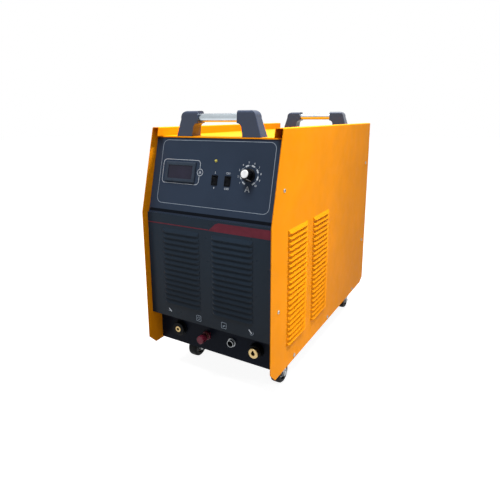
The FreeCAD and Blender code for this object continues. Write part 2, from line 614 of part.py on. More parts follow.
def caster_fork(x, y):
    """Head, two cheeks that sweep back to the axle, and the axle riveted across them."""
    cheek_in = WHEEL_HUB_WIDTH / 2 + SWIVEL_GAP
    cheek_out = cheek_in + FORK_SHEET
    head = turned([(0, KINGPIN_RADIUS + RUNNING_FIT), (0, FORK_HEAD_RADIUS - 1.5),
                   (1.5 - FORK_HEAD_HEIGHT, FORK_HEAD_RADIUS), (-FORK_HEAD_HEIGHT, FORK_HEAD_RADIUS),
                   (-FORK_HEAD_HEIGHT, KINGPIN_RADIUS + RUNNING_FIT)], Vector(0, 0, FORK_TOP), Z)
    head = head.common(box(-cheek_out, cheek_out, -50, 50, 0, FORK_TOP + 1))
    lobe = AXLE_RADIUS + 5.0
    brow = math.sqrt(FORK_HEAD_RADIUS ** 2 - cheek_out ** 2)
    shape = [Vector(-cheek_out, -brow, FORK_TOP - 1.5), Vector(-cheek_out, brow, FORK_TOP - 1.5),
             Vector(-cheek_out, CASTER_TRAIL + lobe * 0.9, WHEEL_RADIUS + 3),
             Vector(-cheek_out, CASTER_TRAIL + lobe * 0.5, WHEEL_RADIUS - lobe * 0.85),
             Vector(-cheek_out, CASTER_TRAIL - lobe * 0.5, WHEEL_RADIUS - lobe * 0.85),
             Vector(-cheek_out, -brow, FORK_UNDER - 4)]
    cheek = prism(shape, X * FORK_SHEET)
    axle = turned([(-cheek_out - 2.5, 0), (-cheek_out - 2.5, AXLE_RADIUS), (-cheek_out, AXLE_RADIUS + 2),
                   (-cheek_in - 0.1, AXLE_RADIUS + 2), (-cheek_in - 0.1, AXLE_RADIUS),
                   (cheek_in + 0.1, AXLE_RADIUS), (cheek_in + 0.1, AXLE_RADIUS + 2),
                   (cheek_out, AXLE_RADIUS + 2), (cheek_out + 2.5, AXLE_RADIUS), (cheek_out + 2.5, 0)],
                  Vector(0, CASTER_TRAIL, WHEEL_RADIUS), X)
    fork = fuse([head, cheek, mirrored(cheek), axle])
    return moved(fork, Vector(x, y, 0))


def caster_wheel(x, y):
    """Wheel with a crowned tread, a thin web with a raised ring, and a wider hub."""
    tread = WHEEL_WIDTH / 2
    rim = WHEEL_RADIUS - TYRE_THICKNESS
    web = WHEEL_WEB / 2
    ring_in, ring_out = WHEEL_RING
    ring = web + WHEEL_RING_PROUD
    half = [(WHEEL_HUB_WIDTH / 2, AXLE_RADIUS + RUNNING_FIT), (WHEEL_HUB_WIDTH / 2, WHEEL_HUB_RADIUS),
            (web, WHEEL_HUB_RADIUS + 1), (web, ring_in), (ring, ring_in + 0.4), (ring, ring_out - 0.4),
            (web, ring_out), (web, rim - 1), (tread, rim),
            (tread, WHEEL_RADIUS - 3.5), (tread - 2.5, WHEEL_RADIUS - 0.8), (tread - 7, WHEEL_RADIUS)]
    profile = half + [(-along, radius) for along, radius in reversed(half)]
    return turned(profile, Vector(x, y + CASTER_TRAIL, WHEEL_RADIUS), X)


# ---- controls on the upper panel, built in panel axes ----
def meter_bezel():
    x, z = METER_PLACE
    half_x, half_z = METER_SIZE[0] / 2, METER_SIZE[1] / 2
    rim = box(x - half_x, x + half_x, -METER_PROUD, 0, z - half_z, z + half_z)
    front = [edge for edge in rim.Edges if abs(edge.BoundBox.YMax + METER_PROUD) < 0.01]
    rim = rim.makeChamfer(1.5, front)
    body = box(x - half_x + 3.2, x + half_x - 3.2, 0, METER_BODY_DEPTH, z - half_z + 3.2, z + half_z - 3.2)
    recess = box(x - METER_WINDOW[0] / 2, x + METER_WINDOW[0] / 2, -METER_PROUD, 3 - METER_PROUD,
                 z - METER_WINDOW[1] / 2, z + METER_WINDOW[1] / 2)
    return rim.fuse(body).removeSplitter().cut(recess)


def meter_window():
    x, z = METER_PLACE
    return box(x - METER_WINDOW[0] / 2, x + METER_WINDOW[0] / 2, 1.2 - METER_PROUD, 3 - METER_PROUD,
               z - METER_WINDOW[1] / 2, z + METER_WINDOW[1] / 2)


def indicator_led():
    profile = [(-3.2, 0), (-2.6, 1.4), (-1.2, LED_RADIUS), (-0.9, LED_RADIUS), (-0.9, LED_RADIUS + 0.7),
               (0, LED_RADIUS + 0.7), (0, LED_RADIUS), (7, LED_RADIUS), (7, 0)]
    return turned(profile, Vector(LED_PLACE[0], 0, LED_PLACE[1]), Y)


def switch_housing(x, z):
    half_x, half_z = SWITCH_SIZE[0] / 2, SWITCH_SIZE[1] / 2
    bezel = box(x - half_x, x + half_x, -1.6, 0, z - half_z, z + half_z)
    front = [edge for edge in bezel.Edges if abs(edge.BoundBox.YMax + 1.6) < 0.01]
    bezel = bezel.makeChamfer(0.8, front)
    body = box(x - half_x + 1.2, x + half_x - 1.2, 0, SWITCH_DEPTH, z - half_z + 1.2, z + half_z - 1.2)
    well_x, well_z = half_x - 1.2 - SWITCH_WALL, half_z - 1.2
    well = box(x - well_x, x + well_x, -2, 9, z - well_z + 0.4, z + well_z - 0.4)
    pins = rod(ROCKER_PIN_RADIUS + RUNNING_FIT, Vector(x - well_x - 0.9, ROCKER_PIVOT_DEPTH, z), X,
               2 * well_x + 1.8)
    return bezel.fuse(body).removeSplitter().cut(well).cut(pins)


def switch_rocker(x, z):
    """Rocker with a hollow face, pressed in at its lower end at rest."""
    half_x = SWITCH_SIZE[0] / 2 - 1.2 - SWITCH_WALL - ROCKER_PLAY
    reach = SWITCH_SIZE[1] / 2 - 1.6 - ROCKER_PLAY
    pivot = Vector(x, ROCKER_PIVOT_DEPTH, z)
    outline = [(-5.2, reach * 0.88), (-3.4, reach * 0.45), (-2.8, 0), (-3.4, -reach * 0.45),
               (-5.2, -reach * 0.88), (-3.6, -reach * 0.92), (2.5, -reach * 0.9), (4.5, -3), (4.5, 3),
               (2.5, reach * 0.9), (-3.6, reach * 0.92)]
    points = [pivot + Vector(-half_x, depth, up) for depth, up in outline]
    paddle = prism(points, X * (2 * half_x))
    pin_reach = half_x + ROCKER_PLAY + 0.7
    rocker = paddle.fuse(rod(ROCKER_PIN_RADIUS, pivot - X * pin_reach, X, 2 * pin_reach))
    rocker.rotate(pivot, X, ROCKER_TILT)
    return rocker


def knob_base(depth):
    return Vector(KNOB_PLACE[0], depth, KNOB_PLACE[1])


def potentiometer():
    """Body behind the panel with its bushing and nut, bored for the shaft."""
    profile = [(PANEL_SHEET + POT_DEPTH, SHAFT_RADIUS + RUNNING_FIT), (PANEL_SHEET + POT_DEPTH, POT_RADIUS),
               (PANEL_SHEET, POT_RADIUS), (PANEL_SHEET, BUSHING_RADIUS), (0, BUSHING_RADIUS),
               (0, BUSHING_RADIUS + 2.4), (-2, BUSHING_RADIUS + 2.4), (-2, BUSHING_RADIUS),
               (-5, BUSHING_RADIUS), (-5, SHAFT_RADIUS + RUNNING_FIT)]
    return turned(profile, knob_base(0), Y)


def potentiometer_shaft():
    end = PANEL_SHEET + POT_DEPTH
    collar = rod(SHAFT_RADIUS + 2, knob_base(end + FIT_GAP), Y, 1.2)
    tail = rod(SHAFT_RADIUS, knob_base(4 - KNOB_HEIGHT), Y, end + FIT_GAP + KNOB_HEIGHT - 4)
    return tail.fuse(collar).removeSplitter()


def current_knob():
    """Fluted knob, hollow over the nut, with a blind bore for the shaft."""
    low = -KNOB_GAP
    profile = [(low, BUSHING_RADIUS + 3.4), (low, KNOB_RADIUS), (low - 2.5, KNOB_RADIUS),
               (low - 3.5, KNOB_TOP_RADIUS + 0.9), (-KNOB_HEIGHT + 1, KNOB_TOP_RADIUS),
               (-KNOB_HEIGHT, KNOB_TOP_RADIUS - 1), (-KNOB_HEIGHT, 0), (4 - KNOB_HEIGHT - FIT_GAP, 0),
               (4 - KNOB_HEIGHT - FIT_GAP, SHAFT_RADIUS + 0.01), (-6, SHAFT_RADIUS + 0.01),
               (-6, BUSHING_RADIUS + 3.4)]
    body = turned(profile, knob_base(0), Y)
    flutes = []
    for step in range(12):
        angle = math.radians(30 * step + 15)
        centre = Vector(math.cos(angle), 0, math.sin(angle)) * (KNOB_TOP_RADIUS + 0.9)
        flutes.append(rod(1.6, knob_base(-KNOB_HEIGHT) + centre, Y, KNOB_HEIGHT - 6))
    seat = rod(KNOB_CAP_RADIUS, knob_base(-KNOB_HEIGHT), Y, KNOB_CAP_HEIGHT / 2)
    return cut(body, flutes + [seat])


def knob_cap():
    low = KNOB_CAP_HEIGHT / 2 - KNOB_HEIGHT
    profile = [(low, 0), (low, KNOB_CAP_RADIUS), (low - KNOB_CAP_HEIGHT + 0.5, KNOB_CAP_RADIUS),
               (low - KNOB_CAP_HEIGHT, KNOB_CAP_RADIUS - 0.7), (low - KNOB_CAP_HEIGHT, 0)]
    return turned(profile, knob_base(0), Y)


def control_board():
    """Board against the backs of the potentiometer and the switches' level, in panel axes."""
    depth = SWITCH_DEPTH
    width, height, thickness = CONTROL_BOARD
    centre = (METER_PLACE[0] + KNOB_PLACE[0]) / 2 + 12
    board = box(centre - width / 2, centre + width / 2, depth, depth + thickness, 30, 30 + height)
    window = box(METER_PLACE[0] - METER_SIZE[0] / 2 + 2, METER_PLACE[0] + METER_SIZE[0] / 2 - 2,
                 depth - 1, depth + 3, METER_PLACE[1] - METER_SIZE[1] / 2 + 2,
                 METER_PLACE[1] + METER_SIZE[1] / 2 - 2)
    return board.cut(window)


# ---- connectors ----
def at_connector(x, depth=0.0):
    return Vector(x, CONNECTOR_FACE + depth, CONNECTOR_Z)


def torch_connector():
    """Insulated housing with the brass gas-and-power insert in it."""
    hole = TORCH_HOLE
    body = turned([(0, TORCH_INSERT_RADIUS + RUNNING_FIT), (PANEL_SHEET + 4, TORCH_INSERT_RADIUS + RUNNING_FIT),
                   (PANEL_SHEET + 4, hole), (0, hole), (0, TORCH_BODY_RADIUS + 2), (-3, TORCH_BODY_RADIUS + 2),
                   (-3, TORCH_BODY_RADIUS), (1 - TORCH_BODY_PROUD, TORCH_BODY_RADIUS),
                   (-TORCH_BODY_PROUD, TORCH_BODY_RADIUS - 1), (-TORCH_BODY_PROUD, TORCH_INSERT_RADIUS + RUNNING_FIT)],
                  at_connector(TORCH_PLACE), Y)
    low = -TORCH_BODY_PROUD - 1
    insert = turned([(low, TORCH_BORE), (low, TORCH_INSERT_RADIUS - 0.6), (low + 0.6, TORCH_INSERT_RADIUS),
                     (PANEL_SHEET + 4, TORCH_INSERT_RADIUS), (PANEL_SHEET + 4, TORCH_BORE + 2),
                     (TORCH_TAIL, TORCH_BORE + 2), (TORCH_TAIL, 0), (low + TORCH_BORE_LENGTH, 0),
                     (low + TORCH_BORE_LENGTH, TORCH_BORE)], at_connector(TORCH_PLACE), Y)
    return body, insert


def pilot_terminal():
    """Binding post: insulated base, brass stud, clamp washer and screw cap."""
    axis = at_connector(PILOT_PLACE)
    hole = PILOT_BASE_RADIUS - 4
    stud_r = PILOT_STUD_RADIUS
    front = -PILOT_BASE_PROUD
    base = turned([(PANEL_SHEET + 3, stud_r + RUNNING_FIT), (PANEL_SHEET + 3, hole), (0, hole),
                   (0, PILOT_BASE_RADIUS), (1 + front, PILOT_BASE_RADIUS), (front, PILOT_BASE_RADIUS - 1),
                   (front, stud_r + RUNNING_FIT)], axis, Y)
    washer_low = front - FIT_GAP - PILOT_WASHER
    cap_low = washer_low - FIT_GAP
    stud_end = cap_low - PILOT_CAP_LENGTH + 3 + PILOT_OPENING
    stud = turned([(stud_end, 0), (stud_end, stud_r), (PANEL_SHEET + 3 + 0.1, stud_r),
                   (PANEL_SHEET + 3 + 0.1, stud_r + 3), (PANEL_SHEET + 7, stud_r + 3), (PANEL_SHEET + 7, stud_r),
                   (PANEL_SHEET + 14, stud_r), (PANEL_SHEET + 14, 0)], axis, Y)
    washer = turned([(front - FIT_GAP, stud_r + 0.1), (front - FIT_GAP, PILOT_CAP_RADIUS - 2.3),
                     (washer_low, PILOT_CAP_RADIUS - 2.3), (washer_low, stud_r + 0.1)], axis, Y)
    cap_end = cap_low - PILOT_CAP_LENGTH
    cap = turned([(cap_low, stud_r + 0.08), (cap_low, PILOT_CAP_RADIUS - 2), (cap_low - 4, PILOT_CAP_RADIUS - 2),
                  (cap_low - 5, PILOT_CAP_RADIUS), (cap_end + 1, PILOT_CAP_RADIUS),
                  (cap_end, PILOT_CAP_RADIUS - 1), (cap_end, 0), (cap_end + 2, 0),
                  (cap_end + 2, stud_r + 0.08)], axis, Y)
    grips = []
    for step in range(8):
        angle = math.radians(45 * step)
        offset = Vector(math.cos(angle), 0, math.sin(angle)) * (PILOT_CAP_RADIUS + 1.0)
        grips.append(rod(1.6, axis + Y * (cap_end + 2) + offset, Y, PILOT_CAP_LENGTH - 7))
    return base, stud, washer, cut(cap, grips)


def control_socket():
    """Round multi-pin socket: threaded metal shell round a moulded insert with pins."""
    axis = at_connector(CONTROL_PLACE)
    thread = CONTROL_THREAD_RADIUS
    wall = 1.3
    shell = turned([(0, thread), (0, CONTROL_FLANGE_RADIUS), (-2, CONTROL_FLANGE_RADIUS), (-2, thread),
                    (-2 - CONTROL_THREAD_LENGTH, thread), (-2 - CONTROL_THREAD_LENGTH, thread - wall),
                    (10, thread - wall), (10, thread), (PANEL_SHEET + 3, thread),
                    (PANEL_SHEET + 3, thread + 2.5), (PANEL_SHEET, thread + 2.5), (PANEL_SHEET, thread)], axis, Y)
    disc = rod(thread - wall, axis, Y, 8)
    pins = [rod(CONTROL_PIN_RADIUS, axis + Vector(3.4 * math.cos(math.radians(turn)), -6,
                                                  3.4 * math.sin(math.radians(turn))), Y, 12)
            for turn in (45, 135, 225, 315)]
    return shell, disc.multiFuse(pins).removeSplitter()


def work_socket():
    """Panel socket for the work lead: insulating flange and a brass insert with a key slot."""
    axis = at_connector(WORK_PLACE)
    flange = turned([(0, WORK_INSERT_RADIUS + RUNNING_FIT), (0, WORK_FLANGE_RADIUS + 2),
                     (-2.5, WORK_FLANGE_RADIUS + 2), (-WORK_FLANGE_PROUD, WORK_FLANGE_RADIUS - 0.5),
                     (-WORK_FLANGE_PROUD, WORK_INSERT_RADIUS + RUNNING_FIT)], axis, Y)
    low = -WORK_INSERT_PROUD
    insert = turned([(low, WORK_BORE), (low, WORK_INSERT_RADIUS - 1), (low + 1, WORK_INSERT_RADIUS),
                     (PANEL_SHEET + 8, WORK_INSERT_RADIUS), (PANEL_SHEET + 8, WORK_BORE + 2.5),
                     (low + WORK_BORE_LENGTH + 5, WORK_BORE + 2.5), (low + WORK_BORE_LENGTH + 5, 0),
                     (low + WORK_BORE_LENGTH, 0), (low + WORK_BORE_LENGTH, WORK_BORE)], axis, Y)
    key = box(axis.x - 2, axis.x + 2, axis.y + low, axis.y + low + 8, axis.z, axis.z + WORK_BORE + 2.4)
    return flange, insert.cut(key)


# ---- rear fittings ----
def fan_axis(depth):
    return Vector(0, REAR_FACE - SHEET - depth, COVER_BOTTOM + FAN_HEIGHT)


def fan_frame():
    """Square frame with a round duct and a motor mount on four struts."""
    centre = fan_axis(FAN_DEPTH)
    half = FAN_SIZE / 2
    frame = box(-half, half, centre.y, centre.y + FAN_DEPTH, centre.z - half, centre.z + half)
    duct = rod(FAN_DUCT_RADIUS, centre, Y, FAN_DEPTH)
    hub = rod(FAN_HUB_RADIUS, centre, Y, 10)
    struts = []
    for step in range(4):
        strut = box(-3, 3, centre.y, centre.y + 5, centre.z + FAN_HUB_RADIUS - 2, centre.z + FAN_DUCT_RADIUS + 2)
        strut.rotate(centre, Y, 90 * step + 45)
        struts.append(strut)
    bore = rod(FAN_SHAFT_RADIUS + RUNNING_FIT, centre, Y, FAN_DEPTH)
    return fuse([frame.cut(duct), hub] + struts).cut(bore)


def fan_rotor():
    """Hub cup and pitched blades on a shaft that runs in the frame."""
    centre = fan_axis(FAN_DEPTH)
    hub = turned([(11, 0), (11, FAN_HUB_RADIUS), (FAN_DEPTH - 6, FAN_HUB_RADIUS),
                  (FAN_DEPTH - 4, FAN_HUB_RADIUS - 2), (FAN_DEPTH - 4, 0)], centre, Y)
    tip = FAN_DUCT_RADIUS - FAN_TIP_GAP
    blades = []
    for step in range(FAN_BLADES):
        blade = prism([centre + Vector(-13, 12.5, FAN_HUB_RADIUS - 3), centre + Vector(-11, 12.5, FAN_HUB_RADIUS - 3),
                       centre + Vector(13, 31, FAN_HUB_RADIUS - 3), centre + Vector(11, 31, FAN_HUB_RADIUS - 3)],
                      Z * (tip - FAN_HUB_RADIUS + 3))
        blade.rotate(centre, Y, 360.0 / FAN_BLADES * step)
        blades.append(blade)
    sweep = rod(tip, centre + Y * 11, Y, FAN_DEPTH - 14)
    shaft = rod(FAN_SHAFT_RADIUS, centre + Y * 2, Y, 10)
    return fuse([hub, shaft, Part.makeCompound(blades).common(sweep)])


def fan_guard():
    """Finger guard: flat rings on two crossing bars, with four screw ears."""
    centre = fan_axis(-SHEET)
    wire = GUARD_WIRE
    rings = []
    for step in range(1, GUARD_RINGS + 1):
        radius = FAN_DUCT_RADIUS * step / GUARD_RINGS
        rings.append(rod(radius + wire / 2, centre, Y, wire).cut(rod(radius - wire / 2, centre, Y, wire)))
    reach = FAN_SIZE / 2 * math.sqrt(2) - 14
    bars = []
    for angle in (45, 135):
        bar = box(-reach, reach, centre.y, centre.y + wire, centre.z - 1.5, centre.z + 1.5)
        bar.rotate(centre, Y, angle)
        bars.append(bar)
    return fuse(rings + bars)


def breaker():
    """Circuit breaker body through the rear panel, with a pivoted toggle."""
    place = rear_place(BREAKER_PLACE)
    half_x, half_z = BREAKER_SIZE[0] / 2, BREAKER_SIZE[1] / 2
    body = box(place.x - half_x, place.x + half_x, place.y - BREAKER_DEPTH, place.y + 4,
               place.z - half_z, place.z + half_z)
    nose = box(place.x - half_x, place.x + half_x, place.y + 4, place.y + 9, place.z - 15, place.z + 15)
    well = rod(9.5, Vector(place.x - 12, place.y + 3, place.z), X, 24)
    pins = rod(1.5 + RUNNING_FIT, Vector(place.x - 14, place.y + 3, place.z), X, 28)
    drum = rod(8.8, Vector(place.x - 11.6, place.y + 3, place.z), X, 23.2)
    lever = box(place.x - 11.6, place.x + 11.6, place.y + 3, place.y + 18.5, place.z - 2.5, place.z + 2.5)
    lever.rotate(Vector(place.x, place.y + 3, place.z), X, -32)
    toggle = fuse([drum, lever, rod(1.5, Vector(place.x - 13.6, place.y + 3, place.z), X, 27.2)])
    return body.fuse(nose).removeSplitter().cut(well).cut(pins), toggle


def cable_gland():
    """Gland body, locknut inside and domed clamping nut outside, open for the supply cable."""
    place = rear_place(GLAND_PLACE)
    hexagon = [place + Vector(GLAND_RADIUS * 1.1 * math.cos(math.radians(60 * step)), 0,
                              GLAND_RADIUS * 1.1 * math.sin(math.radians(60 * step))) for step in range(6)]
    collar = prism(hexagon, Y * 6)
    dome = turned([(6, 0), (6, GLAND_RADIUS), (15, GLAND_RADIUS), (20, GLAND_RADIUS - 3.5), (20, 0)], place, Y)
    stem = rod(GLAND_RADIUS - 3, place - Y * 12, Y, 12)
    nut = rod(GLAND_RADIUS, place - Y * (SHEET + 5), Y, 5)
    bore = rod(GLAND_BORE, place - Y * 13, Y, 34)
    return fuse([collar, dome, stem, nut]).cut(bore)


def air_inlet():
    """Hose nipple that screws into the solenoid valve behind the rear panel."""
    place = rear_place(AIR_PLACE)
    thread = AIR_HOSE_RADIUS + 2
    nipple = turned([(-10, AIR_BORE), (-10, thread), (0, thread), (0, thread + 2.5), (6, thread + 2.5),
                     (6, AIR_HOSE_RADIUS - 0.6), (8, AIR_HOSE_RADIUS - 0.6), (8, AIR_HOSE_RADIUS),
                     (20, AIR_HOSE_RADIUS), (22, AIR_HOSE_RADIUS - 1), (22, AIR_BORE)], place, Y)
    inner = REAR_FACE - SHEET
    width, depth, height = VALVE_SIZE
    block = box(place.x - width / 2, place.x + width / 2, inner - depth, inner,
                place.z - height / 2, place.z + height / 2)
    coil = rod(14, Vector(place.x, inner - depth * 0.6, place.z + height / 2), Z, 36)
    port = rod(thread + 0.05, place - Y * 10.2, Y, 11)
    return nipple, block.fuse(coil).removeSplitter().cut(port)


# ---- power stage inside ----
def heat_sink():
    width, length, height = SINK_SIZE
    front = FRONT + SINK_SETBACK
    slab = box(-width / 2, width / 2, front, front + length, BASE_TOP + height - SINK_SLAB, BASE_TOP + height)
    pitch = (width - SINK_FIN) / (SINK_FINS - 1)
    fins = [box(-width / 2 + pitch * step, -width / 2 + pitch * step + SINK_FIN, front, front + length,
                BASE_TOP, BASE_TOP + height - SINK_SLAB) for step in range(SINK_FINS)]
    return slab.multiFuse(fins).removeSplitter()


def module_top():
    return BASE_TOP + SINK_SIZE[2] + MODULE_SIZE[2]


def power_modules():
    width, length, height = MODULE_SIZE
    low = BASE_TOP + SINK_SIZE[2]
    pitch = SINK_SIZE[1] / MODULE_COUNT
    modules = []
    for step in range(MODULE_COUNT):
        middle = FRONT + SINK_SETBACK + pitch * (step + 0.5)
        modules.append(box(-width / 2, width / 2, middle - length / 2, middle + length / 2, low, low + height))
    return modules


def power_board():
    width, length, thickness = POWER_BOARD
    middle = FRONT + SINK_SETBACK + SINK_SIZE[1] / 2
    return box(-width / 2, width / 2, middle - length / 2, middle + length / 2,
               module_top(), module_top() + thickness)


def filter_capacitors():
    low = module_top() + POWER_BOARD[2]
    middle = FRONT + SINK_SETBACK + SINK_SIZE[1] / 2
    return [rod(CAPACITOR_RADIUS, Vector(x, middle + y, low), Z, CAPACITOR_HEIGHT)
            for x in (-70, -25, 25, 70) for y in (-60, -15)]


def transformer():
    """Closed ferrite core on the base, with the winding round its middle leg."""
    width, depth, height = CORE_SIZE
    front = FRONT + CORE_SETBACK
    core = box(-width / 2, width / 2, front, front + depth, BASE_TOP, BASE_TOP + height)
    window = (width - 2 * CORE_LEG - CORE_LEG) / 2
    for side in (-1, 1):
        x = side * (CORE_LEG + window) / 2
        core = core.cut(box(x - window / 2, x + window / 2, front - 1, front + depth + 1,
                            BASE_TOP + CORE_LEG, BASE_TOP + height - CORE_LEG))
    coil = box(-CORE_LEG / 2 - window + 0.3, CORE_LEG / 2 + window - 0.3, front - window + 0.3,
               front + depth + window - 0.3, BASE_TOP + CORE_LEG + 0.1, BASE_TOP + height - CORE_LEG - 0.1)
    corners = [edge for edge in coil.Edges if edge.BoundBox.ZLength > 10]
    coil = coil.makeFillet(8, corners)
    middle = box(-CORE_LEG / 2, CORE_LEG / 2, front, front + depth, BASE_TOP, BASE_TOP + height)
    return core, coil.cut(middle)


# ---- the whole unit ----
right_cover = side_cover()
save("right_side_cover", right_cover)
save("left_side_cover", mirrored(right_cover))
save("base_plate", base_plate())
save("top_plate", top_plate())
save("upper_front_panel", upper_front_panel())
save("lower_front_panel", lower_front_panel())
save("connector_panel", connector_panel())
save("rear_panel", rear_panel())
cover_screws = [pan_screw(Vector(HALF, y, z), X) for y, z in cover_screw_places()]
save("cover_screws", *(cover_screws + [mirrored(screw) for screw in cover_screws]))
save("hex_bolts", *([hex_bolt(place, CASTER_BOLT_LENGTH) for place in caster_bolt_places()]
                    + [hex_bolt(place, HANDLE_BOLT_LENGTH) for place in handle_bolt_places()]))

for end, setback in (("front", FRONT_HANDLE_SETBACK), ("rear", REAR_HANDLE_SETBACK)):
    leg = handle_leg(setback)
    save(end + "_handle_right_leg", leg)
    save(end + "_handle_left_leg", mirrored(leg))
    save(end + "_handle_tube", handle_tube(setback))

save("caster_plates", *[caster_plate(x, y) for _, x, y in caster_places()])
for place, x, y in caster_places():
    save(place + "_caster_fork", caster_fork(x, y))
    save(place + "_caster_wheel", caster_wheel(x, y))

save("meter_bezel", on_upper_panel(meter_bezel()))
save("meter_window", on_upper_panel(meter_window()))
save("indicator_led", on_upper_panel(indicator_led()))
save("switch_housings", *[on_upper_panel(switch_housing(x, z)) for x, z in SWITCH_PLACES])
for side, (x, z) in zip(("left", "right"), SWITCH_PLACES):
    save(side + "_switch_rocker", on_upper_panel(switch_rocker(x, z)))
save("potentiometer", on_upper_panel(potentiometer()))
save("potentiometer_shaft", on_upper_panel(potentiometer_shaft()))
save("current_knob", on_upper_panel(current_knob()))
save("current_knob_cap", on_upper_panel(knob_cap()))
save("control_board", on_upper_panel(control_board()))

torch_body, torch_insert = torch_connector()
save("torch_connector_body", torch_body)
save("torch_connector_insert", torch_insert)
pilot_base, pilot_stud, pilot_washer, pilot_cap = pilot_terminal()
save("pilot_terminal_base", pilot_base)
save("pilot_terminal_stud", pilot_stud)
save("pilot_terminal_washer", pilot_washer)
save("pilot_terminal_cap", pilot_cap)
socket_shell, socket_insert = control_socket()
save("control_socket_shell", socket_shell)
save("control_socket_insert", socket_insert)
work_flange, work_insert = work_socket()
save("work_socket_flange", work_flange)
save("work_socket_insert", work_insert)

save("fan_frame", fan_frame())
save("fan_rotor", fan_rotor())
save("fan_guard", fan_guard())
breaker_body, breaker_toggle = breaker()
save("breaker_body", breaker_body)
save("breaker_toggle", breaker_toggle)
save("cable_gland", cable_gland())
air_nipple, air_valve = air_inlet()
save("air_inlet_nipple", air_nipple)
save("air_solenoid_valve", air_valve)

save("heat_sink", heat_sink())
save("power_modules", *power_modules())
save("power_board", power_board())
save("filter_capacitors", *filter_capacitors())
transformer_core, transformer_coil = transformer()
save("transformer_core", transformer_core)
save("transformer_coil", transformer_coil)
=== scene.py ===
import math
import bpy
import bmesh
from mathutils import Matrix, Vector


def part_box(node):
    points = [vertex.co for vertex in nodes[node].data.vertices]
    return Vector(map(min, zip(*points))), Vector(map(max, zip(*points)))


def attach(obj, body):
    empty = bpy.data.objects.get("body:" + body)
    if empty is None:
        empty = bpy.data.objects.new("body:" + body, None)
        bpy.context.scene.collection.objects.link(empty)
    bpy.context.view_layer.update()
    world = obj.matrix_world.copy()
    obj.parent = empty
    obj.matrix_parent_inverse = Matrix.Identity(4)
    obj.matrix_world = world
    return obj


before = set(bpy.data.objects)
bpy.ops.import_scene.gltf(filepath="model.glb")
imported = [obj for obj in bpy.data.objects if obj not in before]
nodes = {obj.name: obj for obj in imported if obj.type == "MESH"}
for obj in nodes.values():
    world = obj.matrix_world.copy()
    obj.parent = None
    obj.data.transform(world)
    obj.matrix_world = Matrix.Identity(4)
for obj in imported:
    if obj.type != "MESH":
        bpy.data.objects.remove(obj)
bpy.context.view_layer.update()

MM = 0.001


# ---- where things are ----
def low(node):
    return Vector(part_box(node)[0])


def high(node):
    return Vector(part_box(node)[1])


def centre(node):
    return (low(node) + high(node)) / 2


def plane_frame(origin, across, upwards):
    """Matrix from local (across, up, out) to the row frame."""
    out = across.cross(upwards)
    turn = Matrix((across, upwards, out)).transposed().to_4x4()
    return Matrix.Translation(origin) @ turn


# The two printed panels: across is x, and up is measured from each panel's foot, in millimetres.
PANEL_RISE = 183.0
PANEL_LEAN = 47.5
SLOPE = math.atan2(PANEL_LEAN, PANEL_RISE)
ACROSS = Vector((1, 0, 0))
UP = Vector((0, 0, 1))
UP_SLOPE = Vector((0, math.sin(SLOPE), math.cos(SLOPE)))
UPPER = plane_frame(Vector((0, -312.5, 401.0)) * MM, ACROSS, UP_SLOPE)
LOWER = plane_frame(Vector((0, -0.318, 0.077)), ACROSS, UP)


# ---- materials ----
class Nodes:
    """Small helper for building one material's node tree."""

    def __init__(self, name):
        self.material = bpy.data.materials.new(name)
        self.material.use_nodes = True
        self.tree = self.material.node_tree
        self.shader = self.tree.nodes["Principled BSDF"]
        self.position = self.add("ShaderNodeTexCoord").outputs["Object"]

    def add(self, kind, **values):
        node = self.tree.nodes.new(kind)
        for key, value in values.items():
            setattr(node, key, value)
        return node

    def link(self, source, target):
        self.tree.links.new(source, target)

    def set(self, **values):
        for key, value in values.items():
            self.shader.inputs[key.replace("_", " ")].default_value = value

    def noise(self, scale, detail=3.0, stretch=(1, 1, 1)):
        mapping = self.add("ShaderNodeMapping")
        mapping.inputs["Scale"].default_value = stretch
        self.link(self.position, mapping.inputs["Vector"])
        noise = self.add("ShaderNodeTexNoise")
        noise.inputs["Scale"].default_value = scale
        noise.inputs["Detail"].default_value = detail
        self.link(mapping.outputs["Vector"], noise.inputs["Vector"])
        return noise.outputs["Fac"]

    def ramp(self, source, start, end, first, last):
        ramp = self.add("ShaderNodeValToRGB")
        ramp.color_ramp.elements[0].position = start
        ramp.color_ramp.elements[1].position = end
        ramp.color_ramp.elements[0].color = (*first, 1)
        ramp.color_ramp.elements[1].color = (*last, 1)
        self.link(source, ramp.inputs["Fac"])
        return ramp.outputs["Color"]

    def spread(self, source, start, end, first, last):
        spread = self.add("ShaderNodeMapRange")
        for key, value in (("From Min", start), ("From Max", end), ("To Min", first), ("To Max", last)):
            spread.inputs[key].default_value = value
        self.link(source, spread.inputs["Value"])
        return spread.outputs["Result"]

    def bump(self, height, strength, distance, edge=0.0):
        """Fine relief, and edges rounded by the given radius in the shading."""
        bump = self.add("ShaderNodeBump")
        bump.inputs["Strength"].default_value = strength
        bump.inputs["Distance"].default_value = distance
        self.link(height, bump.inputs["Height"])
        if edge:
            bevel = self.add("ShaderNodeBevel", samples=4)
            bevel.inputs["Radius"].default_value = edge
            self.link(bevel.outputs["Normal"], bump.inputs["Normal"])
        self.link(bump.outputs["Normal"], self.shader.inputs["Normal"])


def white_rays(tree):
    """1 for camera, glossy and transmission rays, so that metal and glass show the white surroundings too."""
    path = tree.nodes.new("ShaderNodeLightPath")
    seen = path.outputs["Is Camera Ray"]
    for kind in ("Is Glossy Ray", "Is Transmission Ray"):
        either = tree.nodes.new("ShaderNodeMath")
        either.operation = "MAXIMUM"
        tree.links.new(seen, either.inputs[0])
        tree.links.new(path.outputs[kind], either.inputs[1])
        seen = either.outputs["Value"]
    return seen


